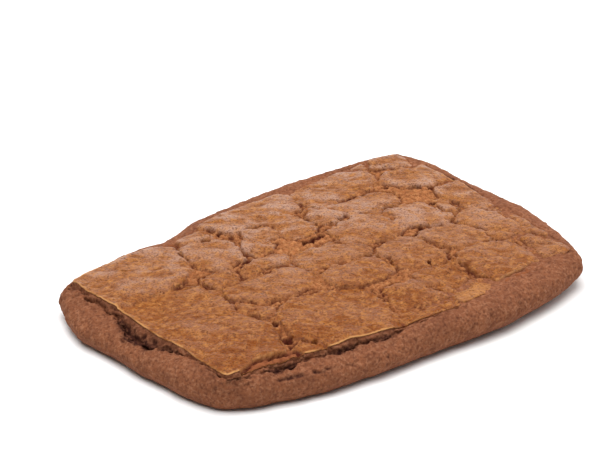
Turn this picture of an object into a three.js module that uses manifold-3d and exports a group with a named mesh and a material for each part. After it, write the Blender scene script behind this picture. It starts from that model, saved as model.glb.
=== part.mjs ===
// A thick speculoos biscuit with a crackled top, as one solid in millimetres.
// +Z is up, the biscuit lies on its flat base, and +X runs along its length.
// The origin is at the middle of the base's bounding rectangle.
//
// The dough was cut as a slab with four sharp corners. In the oven its skin dried into a thin
// crust that kept the cut outline, the dough below swelled out past it on all sides, and the
// crust cracked into plates. The solid is built in that order: a swollen slab, a block of rough
// crumb that carries the crust, and the crust's plates, which stand proud of the crumb between
// them and overhang the slab's sides.
import * as THREE from "three";
import { mergeVertices } from "three/addons/utils/BufferGeometryUtils.js";
import Module from "manifold-3d";

const wasm = await Module();
wasm.setup();

// Driving dimensions
const CRUST_LENGTH = 126; // of the cut slab, so of the crust, along X
const CRUST_WIDTH = 79; // along Y
const RIM_HEIGHT = 11.1; // of the crust's outer edge above the base
const DOME_RISE = 1.3; // of the middle of the top above its edge
const CRUST_THICKNESS = 1.6; // with what is sunk in the crumb
const CRUMB_DEPTH = 0.95; // of the crumb in the cracks below the plates' faces
const OVERHANG = 0.8; // of the crust past the crumb that carries it
const HALF_CRACK = 0.5; // from the middle of a crack to a plate
const BELLY_HEIGHT = 2.4; // where the sides reach furthest out, plus BELLY_LIFT of the tuck there
const BELLY_LIFT = 0.5;
const SHOULDER_DEPTH = 1.1; // of the slab's shoulder below the crust's edge
const GROOVE_DEPTH = 2; // of the groove between that shoulder and the crust's edge

// The crust's outline: where its corners are, how far the dough swelled out there and how far
// the flat base is tucked in under that bulge, how far each edge bows out on its way to the next
// corner and where along the edge it bows most, and how far the dough swelled out along that edge.
const CORNERS = [
  { x: -64.8, y: 33, swell: 3.6, tuck: 3.8, bow: -0.6, peak: 0.5, edgeSwell: 10.1 },
  { x: -62.8, y: -40.3, swell: 2, tuck: 3.4, bow: 4.4, peak: 0.58, edgeSwell: 9.1 },
  { x: 60.8, y: -42.4, swell: 4, tuck: 6.6, bow: 2.6, peak: 0.55, edgeSwell: 9.5 },
  { x: 63.4, y: 40.1, swell: 4, tuck: 4.5, bow: 3, peak: 0.35, edgeSwell: 8.8 },
];
// A dent in the crust's back edge.
const DENT = { x: -27, depth: 3.6, reach: 9.5 };
// Where the dough tore away from under the crust's edge: middle, reach along the edge and depth.
const TEARS = [
  { x: -64, y: -2, reach: 12, depth: 3.6 },
  { x: -47, y: -41, reach: 8, depth: 2.8 },
  { x: -33, y: -43, reach: 6, depth: 1.8 },
  { x: -15, y: -45, reach: 6, depth: 1.8 },
  { x: 64, y: 14, reach: 9, depth: 1.3 },
];

// The crust's plates. Each grew round a short spine, from (x, y) on by (dx, dy), to about this
// reach, until it met the crack to its neighbour.
const PLATES = [
  // the left end
  { x: -52, y: -27, dx: 0, dy: 23, reach: 14.5 },
  { x: -52, y: 22, dx: 7, dy: 2, reach: 13.5 },
  { x: -25, y: 16, dx: 0, dy: 5, reach: 8.2 },
  { x: -13.5, y: 14, dx: 0.5, dy: 2, reach: 4.6 },
  { x: -34, y: 4.5, dx: 3, dy: -0.5, reach: 4 },
  { x: -22, y: 5, dx: 8, dy: 0, reach: 4.2 },
  { x: -29, y: -6.5, dx: 12, dy: -0.5, reach: 7.8 },
  { x: -36.5, y: -13, dx: 1, dy: -5, reach: 3.8 },
  { x: -37.5, y: -39.5, dx: 1.5, dy: -1, reach: 3.4 },
  { x: -25, y: 32.5, dx: 4, dy: -1.5, reach: 3.2 },
  // along the back edge
  { x: -8, y: 34, dx: 16, dy: 0.5, reach: 9.3 },
  { x: 27, y: 34, dx: 10, dy: 0, reach: 9.5 },
  { x: 45, y: 41.5, dx: 4, dy: -0.5, reach: 3 },
  { x: 54, y: 37.5, dx: 4, dy: -2.5, reach: 4.6 },
  { x: 53, y: 26, dx: 7, dy: -5.5, reach: 6 },
  // the middle
  { x: -6.5, y: 23, dx: 1.5, dy: -1.5, reach: 4 },
  { x: 5.3, y: 25, dx: 0, dy: -8, reach: 5.6 },
  { x: 15.5, y: 20, dx: 2, dy: -3, reach: 4.6 },
  { x: 28, y: 17.5, dx: 9, dy: 0.5, reach: 6 },
  { x: 19, y: 5, dx: 5, dy: -1, reach: 8.6 },
  { x: 38, y: 4, dx: 4, dy: -3, reach: 7.6 },
  { x: 51, y: 4, dx: 0.5, dy: -4, reach: 3.2 },
  { x: 60, y: 8, dx: 1.5, dy: -11, reach: 5.8 },
  { x: -2.5, y: -3, dx: 8.5, dy: -0.5, reach: 6.6 },
  { x: -3, y: -14, dx: 9, dy: -1, reach: 7.4 },
  { x: 21, y: -13, dx: 1, dy: -5, reach: 8.2 },
  { x: 37, y: -14, dx: 5, dy: -2, reach: 8 },
  { x: 53, y: -11, dx: 1, dy: -8, reach: 7.2 },
  { x: 62, y: -15, dx: -1, dy: -17, reach: 2.4 },
  // along the front edge
  { x: -24, y: -30.5, dx: 9, dy: -0.5, reach: 12.4 },
  { x: 3, y: -34.5, dx: 4.5, dy: -1, reach: 6.3 },
  { x: 19.5, y: -31, dx: 0.5, dy: -3.5, reach: 6.8 },
  { x: 36, y: -34, dx: 7, dy: 0.5, reach: 9 },
  { x: 55.5, y: -33, dx: 0.5, dy: -5, reach: 5.8 },
  { x: -2, y: -46, dx: 11, dy: 0, reach: 3.6 },
  { x: 19, y: -44, dx: 4, dy: 1.5, reach: 4.4 },
];

// How suddenly the sides turn at the corners
const CORNER_SHARPNESS = 8;

// How finely the surfaces are divided
const RIM_STEP = 3.6;
const CRUMB_STEP = 3.5;
const PLATE_STEP = 3.4;

const { hypot, sin, cos, PI, min, max, abs, sign, floor } = Math;
const mix = (a, b, t) => a + (b - a) * t;
const clamp = (v) => min(1, max(0, v));
const bell = (distance, reach) => Math.exp(-((distance / reach) ** 2));

// A fixed pseudo-random number from 0 to 1 for each lattice point.
function hash(i, j, seed) {
  const value = sin(i * 127.1 + j * 311.7 + seed * 74.7) * 43758.5453;
  return value - floor(value);
}

// Smooth noise from -1 to 1 over the plane, with features about scale apart.
function noise(x, y, scale, seed) {
  const i = floor(x / scale);
  const j = floor(y / scale);
  const ease = (t) => t * t * (3 - 2 * t);
  const u = ease(x / scale - i);
  const v = ease(y / scale - j);
  const near = mix(hash(i, j, seed), hash(i + 1, j, seed), u);
  const far = mix(hash(i, j + 1, seed), hash(i + 1, j + 1, seed), u);
  return 2 * mix(near, far, v) - 1;
}

// The way out of the biscuit at a point near its rim, turning smoothly round the corners.
function outward(x, y) {
  const nx = sign(x) * abs(x / CRUST_LENGTH) ** CORNER_SHARPNESS;
  const ny = sign(y) * abs(y / CRUST_WIDTH) ** CORNER_SHARPNESS;
  const length = hypot(nx, ny);
  return [nx / length, ny / length];
}

// The crust's outline, counterclockwise: a list of { x, y, swell, tuck, tear }.
function crustRim() {
  const points = [];
  CORNERS.forEach((from, k) => {
    const to = CORNERS[(k + 1) % CORNERS.length];
    const length = hypot(to.x - from.x, to.y - from.y);
    const steps = Math.round(length / RIM_STEP);
    for (let s = 0; s < steps; s++) {
      const t = s / steps;
      const bulge = sin(PI * t ** (Math.log(0.5) / Math.log(from.peak)));
      const side = (from.bow * bulge) / length;
      let x = mix(from.x, to.x, t) + side * (to.y - from.y);
      let y = mix(from.y, to.y, t) - side * (to.x - from.x);
      if (y > 0) y -= DENT.depth * bell(x - DENT.x, DENT.reach);
      x += 0.4 * noise(x, y, 5, 3);
      y += 0.4 * noise(x, y, 5, 4);
      const swell = mix(mix(from.swell, to.swell, t), from.edgeSwell, sin(PI * t) ** 0.55);
      const tuck = mix(from.tuck, to.tuck, t);
      const tear = TEARS.reduce((sum, p) => sum + p.depth * bell(hypot(x - p.x, y - p.y), p.reach), 0);
      points.push({ x, y, swell, tuck, tear });
    }
  });
  return points;
}

const RIM = crustRim();

// A ring that follows the rim. offset, a function of the rim's point, is how far outside it lies.
function ringOutside(offset, height) {
  return RIM.map((p) => {
    const [nx, ny] = outward(p.x, p.y);
    const by = offset(p);
    return new THREE.Vector3(p.x + nx * by, p.y + ny * by, height(p));
  });
}

// The height of the crust's face, before the relief of its plates.
function domeHeight(x, y) {
  const along = max(0, 1 - (x / (0.54 * CRUST_LENGTH)) ** 2);
  const across = max(0, 1 - (y / (0.57 * CRUST_WIDTH)) ** 2);
  return RIM_HEIGHT + DOME_RISE * along * across + 0.4 * noise(x, y, 19, 5);
}

// How deep (x, y) lies inside the crack-free part of the nearest plate, and which plate that is.
// It is below 0 in a crack, and in the crumb that no plate covers.
function plateAt(x, y) {
  const wx = x + noise(x, y, 6.5, 11) + 0.5 * noise(x, y, 2.6, 12);
  const wy = y + noise(x, y, 6.5, 21) + 0.5 * noise(x, y, 2.6, 22);
  let nearest = Infinity;
  let second = Infinity;
  let plate = -1;
  PLATES.forEach((p, k) => {
    const t = clamp(((wx - p.x) * p.dx + (wy - p.y) * p.dy) / (p.dx ** 2 + p.dy ** 2));
    const outside = hypot(wx - p.x - t * p.dx, wy - p.y - t * p.dy) - p.reach;
    if (outside < nearest) {
      second = nearest;
      nearest = outside;
      plate = k;
    } else {
      second = min(second, outside);
    }
  });
  // At the crust's own edge a plate holds on further than in the middle.
  const edgeward = max(abs(x) / (0.5 * CRUST_LENGTH), abs(y) / (0.52 * CRUST_WIDTH));
  const hold = 5.5 * clamp((edgeward - 0.85) / 0.15);
  const crack = HALF_CRACK * (1 + 0.8 * noise(x, y, 11, 31));
  return { plate, inset: min((second - nearest) / 2, hold - nearest) - crack };
}

// A solid from a closed geometry.
function solidOf(geometry) {
  const bare = geometry.index ? geometry.toNonIndexed() : geometry;
  const merged = mergeVertices(new THREE.BufferGeometry().setAttribute("position", bare.attributes.position));
  return new wasm.Manifold(
    new wasm.Mesh({
      numProp: 3,
      vertProperties: merged.attributes.position.array,
      triVerts: new Uint32Array(merged.index.array),
    }),
  );
}

// A closed geometry through rings of equally many points, from the lowest up, with a fan over
// the first and the last ring from the points given.
function loft(bottom, rings, top) {
  const count = rings[0].length;
  const points = [bottom, ...rings.flat(), top];
  const at = (ring, k) => 1 + ring * count + (k % count);
  const faces = [];
  for (let k = 0; k < count; k++) {
    faces.push(0, at(0, k + 1), at(0, k));
    for (let ring = 0; ring + 1 < rings.length; ring++) {
      faces.push(at(ring, k), at(ring, k + 1), at(ring + 1, k + 1));
      faces.push(at(ring, k), at(ring + 1, k + 1), at(ring + 1, k));
    }
    faces.push(points.length - 1, at(rings.length - 1, k), at(rings.length - 1, k + 1));
  }
  const geometry = new THREE.BufferGeometry();
  geometry.setFromPoints(points);
  geometry.setIndex(faces);
  return geometry;
}

// A prism under an outline, from the base plane up to a height.
function prism(ring, height) {
  const outline = new THREE.Shape(ring.map((p) => new THREE.Vector2(p.x, p.y)));
  return new THREE.ExtrudeGeometry(outline, { depth: height, bevelEnabled: false });
}

// The swollen slab: flat base, rounded belly, a shoulder, and the groove under the crust's edge.
function slab() {
  const uneven = (p, angle) => 0.35 * noise(p.x + p.y, angle, 7, 6);
  const belly = (p) => BELLY_HEIGHT + BELLY_LIFT * p.tuck;
  const shoulder = (p) => RIM_HEIGHT - SHOULDER_DEPTH - 0.5 * p.tear;
  const rings = [ringOutside((p) => p.swell - p.tuck, () => 0)];
  for (const angle of [-50, -24]) {
    const turn = THREE.MathUtils.degToRad(angle);
    const reach = (p) => p.swell - p.tuck * (1 - cos(turn)) ** 0.8 + uneven(p, angle);
    rings.push(ringOutside(reach, (p) => belly(p) * (1 + sin(turn))));
  }
  for (const angle of [2, 24, 45, 64, 81]) {
    const turn = THREE.MathUtils.degToRad(angle);
    const reach = (p) => p.swell * cos(turn) + uneven(p, angle);
    rings.push(ringOutside(reach, (p) => mix(belly(p), shoulder(p), sin(turn))));
  }
  rings.push(ringOutside((p) => -OVERHANG - p.tear, (p) => RIM_HEIGHT - GROOVE_DEPTH - 0.4 * p.tear));
  const bottom = new THREE.Vector3(0, 0, 0);
  const top = new THREE.Vector3(0, 0, RIM_HEIGHT - GROOVE_DEPTH);
  return solidOf(loft(bottom, rings, top));
}

// The rough crumb that carries the crust and shows in the cracks.
function crumb() {
  const length = 1.15 * CRUST_LENGTH;
  const width = 1.25 * CRUST_WIDTH;
  const block = new THREE.BoxGeometry(
    length, width, RIM_HEIGHT, Math.round(length / CRUMB_STEP), Math.round(width / CRUMB_STEP), 1,
  );
  const position = block.attributes.position;
  for (let k = 0; k < position.count; k++) {
    const [x, y] = [position.getX(k), position.getY(k)];
    const rough = 0.28 * noise(x, y, 2.2, 41) + 0.14 * noise(x, y, 5, 42);
    const isTop = position.getZ(k) > 0;
    position.setZ(k, isTop ? domeHeight(x, y) - CRUMB_DEPTH + rough : BELLY_HEIGHT);
  }
  const carried = ringOutside((p) => -OVERHANG - p.tear, () => 0);
  return solidOf(block).intersect(solidOf(prism(carried, 2 * RIM_HEIGHT)));
}

// Points evenly spaced along a closed outline, about step apart.
function evenly(outline, step) {
  const curve = new THREE.CatmullRomCurve3(outline, true, "centripetal");
  const count = max(8, Math.round(curve.getLength() / step));
  return curve.getSpacedPoints(count).slice(0, count);
}

// A plate's outline, found by walking out from its middle until it meets a crack.
function plateOutline(middle, plate) {
  const [WAYS, STEP, FURTHEST] = [72, 0.2, 40];
  const outline = [];
  for (let way = 0; way < WAYS; way++) {
    const turn = (2 * PI * way) / WAYS;
    let out = 1;
    while (out < FURTHEST) {
      const here = plateAt(middle.x + out * cos(turn), middle.y + out * sin(turn));
      if (here.plate !== plate || here.inset < 0) break;
      out += STEP;
    }
    outline.push(new THREE.Vector3(middle.x + out * cos(turn), middle.y + out * sin(turn), 0));
  }
  return evenly(outline, PLATE_STEP);
}

// One plate of the crust: its edge is rounded and curls up a little, its middle is puffed, and
// its face lies at its own slight tilt. Its underside is sunk in the crumb.
function crustPlate(spec, plate) {
  const middle = new THREE.Vector3(spec.x + spec.dx / 2, spec.y + spec.dy / 2, 0);
  const outline = plateOutline(middle, plate);
  const radius = outline.reduce((sum, p) => sum + p.distanceTo(middle), 0) / outline.length;
  const lift = 0.3 * (hash(plate, 1, 51) - 0.5);
  const tilt = [2, 3].map((k) => (0.7 * (hash(plate, k, 51) - 0.5)) / radius);
  const faceHeight = (x, y) =>
    domeHeight(x, y) + lift + tilt[0] * (x - middle.x) + tilt[1] * (y - middle.y);
  const ring = (inset, height) =>
    outline.map((p) => {
      const share = max(0.1, 1 - inset / p.distanceTo(middle));
      const [x, y] = [mix(middle.x, p.x, share), mix(middle.y, p.y, share)];
      return new THREE.Vector3(x, y, height(x, y));
    });
  const rings = [
    ring(0.45, (x, y) => domeHeight(x, y) - CRUST_THICKNESS),
    ring(0, (x, y) => faceHeight(x, y) - 0.45),
    ring(0.5, (x, y) => faceHeight(x, y) + 0.12),
    ring(0.4 * radius, (x, y) => faceHeight(x, y) + 0.05),
  ];
  const bottom = middle.clone().setZ(domeHeight(middle.x, middle.y) - CRUST_THICKNESS);
  const top = middle.clone().setZ(faceHeight(middle.x, middle.y) + 0.02 * radius);
  return solidOf(loft(bottom, rings, top));
}

// The whole crust, cut to the slab's sharp outline.
function crust() {
  const plates = PLATES.map(crustPlate).reduce((joined, plate) => joined.add(plate));
  return plates.intersect(solidOf(prism(ringOutside(() => 0, () => 0), 2 * RIM_HEIGHT)));
}

// A mesh from a solid, centred over the origin.
function meshOf(solid, name, material) {
  const { vertProperties, triVerts } = solid.getMesh();
  const geometry = new THREE.BufferGeometry();
  geometry.setAttribute("position", new THREE.BufferAttribute(vertProperties, 3));
  geometry.setIndex(new THREE.BufferAttribute(triVerts, 1));
  geometry.computeBoundingBox();
  const middle = geometry.boundingBox.getCenter(new THREE.Vector3());
  geometry.translate(-middle.x, -middle.y, 0);
  geometry.computeVertexNormals();
  const mesh = new THREE.Mesh(geometry, material);
  mesh.name = name;
  return mesh;
}

const baked = new THREE.MeshStandardMaterial({ color: 0xa96d45, roughness: 0.8, metalness: 0 });
const biscuit = new THREE.Group();
biscuit.add(meshOf(slab().add(crumb()).add(crust()), "speculoos_biscuit", baked));

export default biscuit;
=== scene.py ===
"""A thick speculoos biscuit with a crackled crust, lying flat on a pale floor.

The biscuit has two pieces, made as it was baked: a swollen slab of dough, and its face, where dry
skin cracked into plates with open crumb between them. Sizes are in millimetres until a mesh is
made, and the biscuit is drawn round the middle of its crust, then moved onto its solid.
"""

import logging
import math
from collections.abc import Callable
from dataclasses import dataclass, field

import bpy
import numpy as np
from mathutils import Matrix, Vector

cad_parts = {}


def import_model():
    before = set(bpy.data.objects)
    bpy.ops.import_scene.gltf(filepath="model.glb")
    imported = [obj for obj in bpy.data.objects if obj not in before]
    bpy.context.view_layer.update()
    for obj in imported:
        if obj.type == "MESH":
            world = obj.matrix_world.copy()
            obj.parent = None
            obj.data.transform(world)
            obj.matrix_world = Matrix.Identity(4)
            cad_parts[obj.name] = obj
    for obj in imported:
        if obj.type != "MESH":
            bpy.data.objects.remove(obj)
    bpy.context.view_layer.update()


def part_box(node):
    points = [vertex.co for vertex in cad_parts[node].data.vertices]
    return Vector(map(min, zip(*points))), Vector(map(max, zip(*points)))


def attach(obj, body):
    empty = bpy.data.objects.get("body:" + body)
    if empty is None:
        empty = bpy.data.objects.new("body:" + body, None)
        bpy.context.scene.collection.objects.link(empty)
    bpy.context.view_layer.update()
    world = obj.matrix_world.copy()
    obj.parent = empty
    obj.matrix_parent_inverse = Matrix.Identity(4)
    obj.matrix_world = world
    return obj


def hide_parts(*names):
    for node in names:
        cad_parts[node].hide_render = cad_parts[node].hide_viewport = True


LOG = logging.getLogger("speculoos")
NODE = "speculoos_biscuit"
BODY = "root"
MM = 0.001
Array = np.ndarray
Material = bpy.types.Material
Socket = bpy.types.NodeSocket


# ---------------------------------------------------------------- noise and small maths


def lattice(i: Array, j: Array, seed: float) -> Array:
    """Gives each lattice point a fixed pseudo-random number.

    Args:
        i: first lattice coordinate.
        j: second lattice coordinate.
        seed: which set of numbers to take.

    Returns:
        Numbers from 0 to 1.
    """
    # The digits after the point of a large sine are as good as random.
    value = np.sin(i * 127.1 + j * 311.7 + seed * 74.7) * 43758.5453
    return value - np.floor(value)


def noise(x: Array, y: Array, scale: float, seed: float) -> Array:
    """Smooth noise over the plane.

    Args:
        x: positions along X.
        y: positions along Y.
        scale: size of the features.
        seed: which noise to take.

    Returns:
        Values from -1 to 1.
    """
    i, j = np.floor(x / scale), np.floor(y / scale)
    u, v = ease(x / scale - i), ease(y / scale - j)
    near = mix(lattice(i, j, seed), lattice(i + 1, j, seed), u)
    far = mix(lattice(i, j + 1, seed), lattice(i + 1, j + 1, seed), u)
    return 2 * mix(near, far, v) - 1


def noise_in_space(p: Array, scale: float, seed: float) -> Array:
    """Smooth noise at points in space.

    Args:
        p: points, with X, Y and Z along the last axis.
        scale: size of the features.
        seed: which noise to take.

    Returns:
        Values from -1 to 1.
    """
    x, y, level = p[..., 0], p[..., 1], np.floor(p[..., 2] / scale)
    apart = 57 * scale  # each level up takes its noise from this much farther along the plane
    below, above = (
        noise(x + shift, y + 2 * shift, scale, seed)
        for shift in (apart * level, apart * (level + 1))
    )
    return mix(below, above, ease(p[..., 2] / scale - level))


def crumbs(p: Array) -> Array:
    """Rough lumps and gaps of torn crumb at points in space, from about -1 to 1."""
    lumps = 2 * ramp(noise_in_space(p, 1.5, 67), -0.6, 0.6) - 1
    return 0.6 * lumps + 0.5 * noise_in_space(p, 0.8, 68)


def pockets(p: Array, lumps: Array, gape: Array) -> Array:
    """Finds the pockets in torn crumb.

    Args:
        p: points in space.
        lumps: how far the crumb stands out at each.
        gape: how wide the dough tore open there, from 0 to 1.

    Returns:
        How deep in a pocket each point lies, from 0 to 1.
    """
    return ramp(noise_in_space(p, 4.2, 69) + 0.8 * lumps + 0.8 * gape, -0.4, 0.5)


def cells(x: Array, y: Array, size: float, seed: float) -> tuple[Array, Array, Array]:
    """Splits the plane into uneven cells, each round a scattered centre.

    Args:
        x: positions along X.
        y: positions along Y.
        size: distance from centre to centre.
        seed: which centres to take.

    Returns:
        Distance to the nearest centre, distance in from the cell's border, and the cell's own
        random number from 0 to 1.
    """
    i, j = np.floor(x / size), np.floor(y / size)
    far_off, margin = 9.0, 0.15
    near, far, chance = (np.full(np.shape(x), v) for v in (far_off, far_off, 0.0))
    for a in (-1, 0, 1):
        for b in (-1, 0, 1):
            cx = i + a + mix(margin, 1 - margin, lattice(i + a, j + b, seed))
            cy = j + b + mix(margin, 1 - margin, lattice(i + a, j + b, seed + 1))
            away = np.hypot(x / size - cx, y / size - cy)
            far = np.where(away < near, near, np.minimum(far, away))
            chance = np.where(away < near, lattice(i + a, j + b, seed + 2), chance)
            near = np.minimum(near, away)
    return size * near, size * (far - near) / 2, chance


def mix(a: Array | float, b: Array | float, t: Array | float) -> Array | float:
    """Blends from a, where t is 0, to b, where t is 1."""
    return a + (b - a) * t


def ease(t: Array) -> Array:
    """Eases t at both ends of the stretch from 0 to 1."""
    return t * t * (3 - 2 * t)


def ramp(value: Array, low: float, high: float) -> Array:
    """Rises smoothly from 0 at low to 1 at high."""
    return ease(np.clip((value - low) / (high - low), 0, 1))


def bell(distance: Array, reach: float) -> Array:
    """A bell curve of height 1 over a distance."""
    return np.exp(-((distance / reach) ** 2))


@dataclass(frozen=True)
class Layer:
    """A layer of uneven relief: how high it stands, how large its lumps are, and its draw."""

    height: float
    size: float
    seed: float

    def over(self, x: Array, y: Array) -> Array:
        """The layer's height over the plane."""
        return self.height * noise(x, y, self.size, self.seed)

    def within(self, p: Array) -> Array:
        """The layer's height at points in space."""
        return self.height * noise_in_space(p, self.size, self.seed)


def pile(layers: tuple[Layer, ...], x: Array, y: Array) -> Array:
    """Adds up layers of relief over the plane."""
    return sum(layer.over(x, y) for layer in layers)


# ---------------------------------------------------------------- the plan of the crust


@dataclass(frozen=True)
class Corner:
    """A corner of the crust, and the edge from it to the next corner.

    At the corner the side swells out by one size and tucks in by another at its base. The edge
    bows out, most at its peak, a share of the way along, and has its own swell.
    """

    x: float
    y: float
    swell: float
    tuck: float
    bow: float
    peak: float
    edge_swell: float


@dataclass(frozen=True)
class Spot:
    """A place on the plan that is torn, sunk or swollen: its middle, its reach and its depth."""

    x: float
    y: float
    reach: float
    depth: float

    def away(self, x: Array, y: Array) -> Array:
        """How far each point is from the spot's middle."""
        return np.hypot(x - self.x, y - self.y)

    def at(self, x: Array, y: Array) -> Array:
        """The spot's depth at each point."""
        return self.depth * bell(self.away(x, y), self.reach)


@dataclass(frozen=True)
class Plate:
    """A plate of the crust: the spine that it grew round, how far from it, and how pale it is."""

    x: float
    y: float
    dx: float
    dy: float
    reach: float
    pale: float = 0.0


@dataclass(frozen=True)
class Stretch:
    """A stretch along X: where it begins, is full, stops being full and ends, and how deep."""

    begin: float
    full: float
    fade: float
    end: float
    depth: float = 1.0

    def at(self, x: Array) -> Array:
        """The stretch's depth at each X."""
        return self.depth * ramp(x, self.begin, self.full) * ramp(-x, -self.end, -self.fade)


# Counterclockwise from the back left.
CORNERS = (
    Corner(-64.8, 33, 3.6, 3.8, 0.4, 0.5, 7.9),
    Corner(-63, -38.6, 1.0, 2.6, 6.3, 0.58, 8.4),
    Corner(60.8, -42.4, 4, 6.6, 2.6, 0.55, 9.5),
    Corner(63.4, 40.1, 4, 4.5, 3, 0.35, 8.8),
)
# Where the dough tore open under the crust's edge.
TEARS = (
    Spot(-64, -2.5, 10.3, 3.6),
    Spot(-46, -41, 7, 1.0),
    Spot(-29, -43, 6, 0.9),
    Spot(-15, -45.5, 6, 0.8),
    Spot(64, 14, 9, 1.3),
)
# Where the plates along the front edge end short of it, so that a shelf of bare dough shows.
SHELVES = (Stretch(-60, -53, -40.5, -38.5, 2.6), Stretch(26, 28, 50, 58, 2.7))
# Where the side swelled more or less than the rest of its edge.
BULGES = (
    Spot(-3, -45, 17, -2.0),
    Spot(-40, -45, 7, 1.3),
    Spot(-52, -42, 7, 0.7),
    Spot(10, -46, 12, -1.2),
    Spot(47, -45, 7, 0.5),
    Spot(64, -38, 6, -0.9),
    Spot(-65, 15, 12.5, 2.9),
    Spot(64, 5, 12, -0.9),
)
PLATES = (
    # the left end
    Plate(-52, -27, 0, 23, 14.5),
    Plate(-52, 22, 7, 2, 13.5),
    Plate(-25, 16, 0, 5, 8.2),
    Plate(-13.5, 14, 0.5, 2, 4.6),
    Plate(-34, 4.5, 3, -0.5, 4),
    Plate(-22, 5, 8, 0, 4.2),
    Plate(-29, -6.5, 12, -0.5, 7.8),
    Plate(-36.5, -13, 1, -5, 3.8),
    Plate(-37.5, -39.5, 1.5, -1, 3.4),
    Plate(-25, 32.5, 4, -1.5, 3.2),
    # along the back edge
    Plate(-8, 34, 16, 0.5, 9.3),
    Plate(27, 34, 10, 0, 9.5),
    Plate(45, 41.5, 4, -0.5, 3),
    Plate(54, 37.5, 4, -2.5, 4.6),
    Plate(53, 26, 7, -5.5, 6),
    # the middle
    Plate(-6.5, 23, 1.5, -1.5, 4),
    Plate(5.3, 25, 0, -8, 5.6),
    Plate(15.5, 20, 2, -3, 4.6),
    Plate(28, 17.5, 9, 0.5, 6),
    Plate(19, 5, 5, -1, 8.6),
    Plate(38, 4, 4, -3, 7.6),
    Plate(51, 4, 0.5, -4, 3.2),
    Plate(60, 8, 1.5, -11, 5.8),
    Plate(-2.5, -3, 8.5, -0.5, 6.6),
    Plate(-3, -14, 9, -1, 7.4),
    Plate(21, -13, 1, -5, 8.2),
    Plate(37, -14, 5, -2, 8),
    Plate(53, -11, 1, -8, 7.2),
    Plate(62, -15, -1, -17, 2.4),
    # along the front edge
    Plate(-24, -30.5, 9, -0.5, 12.4),
    Plate(3, -34.5, 4.5, -1, 6.3),
    Plate(19.5, -31, 0.5, -3.5, 6.8),
    Plate(36, -34, 7, 0.5, 9),
    Plate(55.5, -33, 0.5, -5, 5.8),
    Plate(-2, -46, 11, 0, 3.6),
    Plate(19, -44, 4, 1.5, 4.4, 0.6),
)
# Deep holes in the crumb, mostly where cracks meet.
PITS = (
    Spot(-36.3, -25, 1.3, 2.6),
    Spot(-38.5, -33.5, 1.8, 3.4),
    Spot(-39.4, -37, 1.5, 0.7),
    Spot(-40.3, -40.2, 1.5, 0.7),
    Spot(-32.6, -38.4, 0.8, 1.2),
    Spot(-10.5, -18.8, 0.9, 1.4),
    Spot(-6.3, -24, 1.2, 2.2),
    Spot(1.4, 8.6, 1.3, 2.2),
    Spot(3.4, 8.2, 1.4, 2.4),
    Spot(5.4, 8.4, 1.3, 2.0),
    Spot(7.8, 9, 1.1, 1.6),
    Spot(-20.6, 7.8, 1, 1.6),
    Spot(-15.5, 28, 1.1, 1.8),
    Spot(17.3, -6, 1.1, 2),
    Spot(34.8, -5, 1.1, 2),
    Spot(26.6, -31.5, 1.1, 2),
    Spot(11.8, -34.5, 0.9, 1.6),
    Spot(13, -36.8, 1, 1.6),
    Spot(28.3, -40, 1.2, 2),
    Spot(22, -22.8, 1, 1.6),
    Spot(49, 6.2, 1, 1.6),
    Spot(52.5, 17, 0.9, 1.4),
    Spot(-31.5, 35, 1.2, 2),
    Spot(45, 23.5, 0.9, 1.4),
    Spot(14, 23.5, 0.9, 1.4),
    Spot(31, 24, 0.8, 1.3),
)


@dataclass
class Rim:
    """Points along the crust's outline, counterclockwise, with what the dough did at each."""

    xy: Array
    out: Array
    swell: Array
    tuck: Array
    tear: Array


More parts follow.
